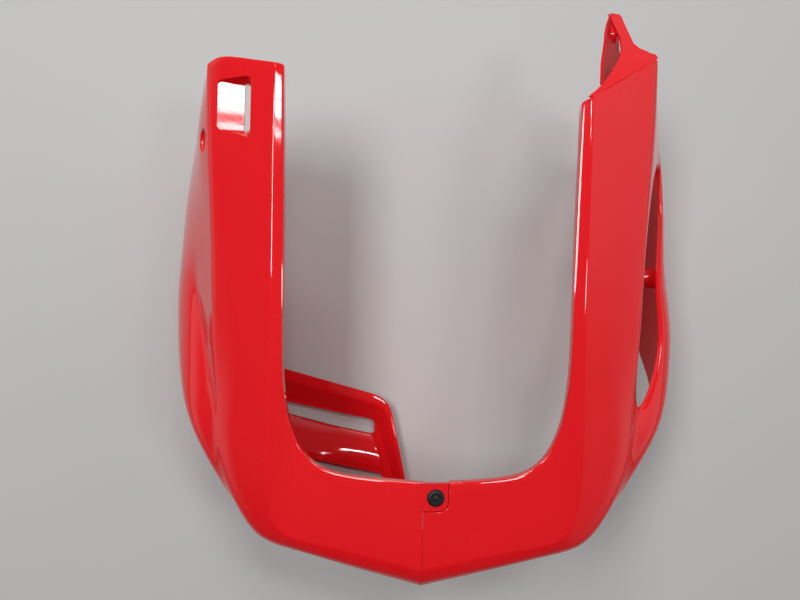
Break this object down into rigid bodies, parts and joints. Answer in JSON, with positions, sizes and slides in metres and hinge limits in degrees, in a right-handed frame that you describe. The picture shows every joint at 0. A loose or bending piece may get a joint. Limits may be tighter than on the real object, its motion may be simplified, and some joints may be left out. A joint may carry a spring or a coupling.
{
  "type": "motorbike belly pan",
  "caption": "U-shaped gloss red belly pan for a motorbike, two moulded halves with a side vent, a louvred rear panel and a push rivet",
  "frame": {"origin": "centre of the bounding box, on the plane that the rear edges rest on", "axes": "+X to the half with the open vent, which is the bike's left, +Y from the keel towards the arm ends, which is up on the bike, +Z from the rear edges to the front face"},
  "size_m": [0.4786, 0.4881, 0.2509],
  "materials": {
    "red_gloss": "high gloss paint on injection moulded plastic",
    "black_nylon": "moulded nylon"
  },
  "bodies": {
    "root": {"right_half_shell": "red_gloss", "left_half_shell": "red_gloss", "push_rivet_body": "black_nylon", "push_rivet_pin": "black_nylon"}
  },
  "joints": []
}
